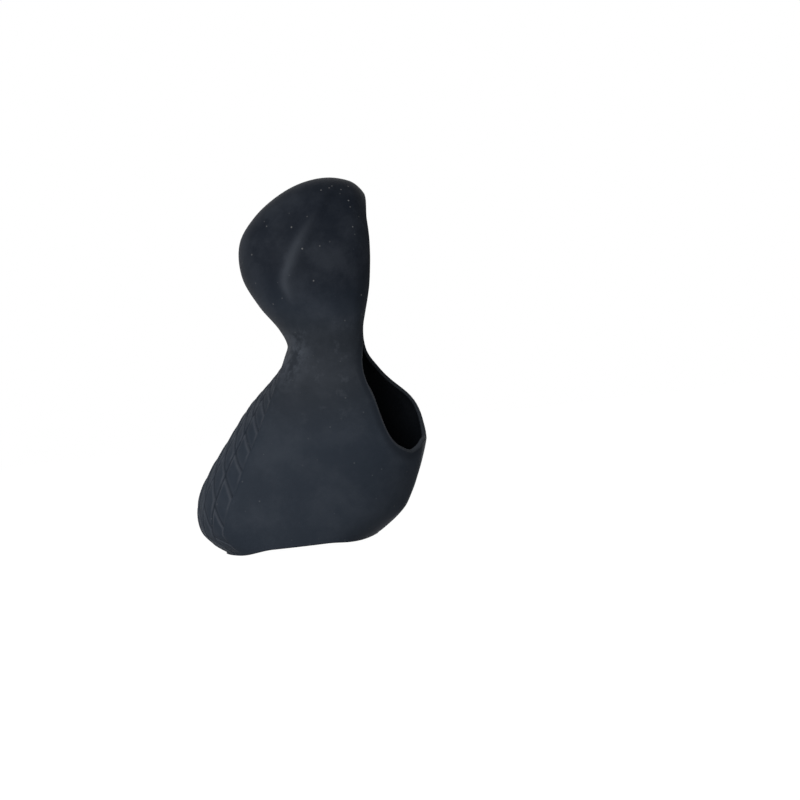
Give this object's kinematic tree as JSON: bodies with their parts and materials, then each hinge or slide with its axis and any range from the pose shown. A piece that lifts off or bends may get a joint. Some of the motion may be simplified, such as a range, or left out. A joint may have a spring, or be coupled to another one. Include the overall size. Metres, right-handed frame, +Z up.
{
  "type": "brake lever hood",
  "caption": "Moulded rubber hood for a drop-bar bicycle brake lever: bulbous head, waisted grip with slanted scales, flared base with a strap, one lever opening.",
  "frame": {"origin": "under the middle of the hood's box, at the height of the flat part of its base edge", "axes": "+Z up from the base edge to the head, -X the palm side with the grip scales, +X the side open to the lever, -Y the smooth side, +Y the side that the grip pattern runs onto"},
  "size_m": [0.066, 0.0368, 0.1017],
  "materials": {
    "rubber": "matte moulded rubber, blue-black, with fine dust and faint scuffs"
  },
  "bodies": {
    "root": {"hood_shell": "rubber"}
  },
  "joints": []
}
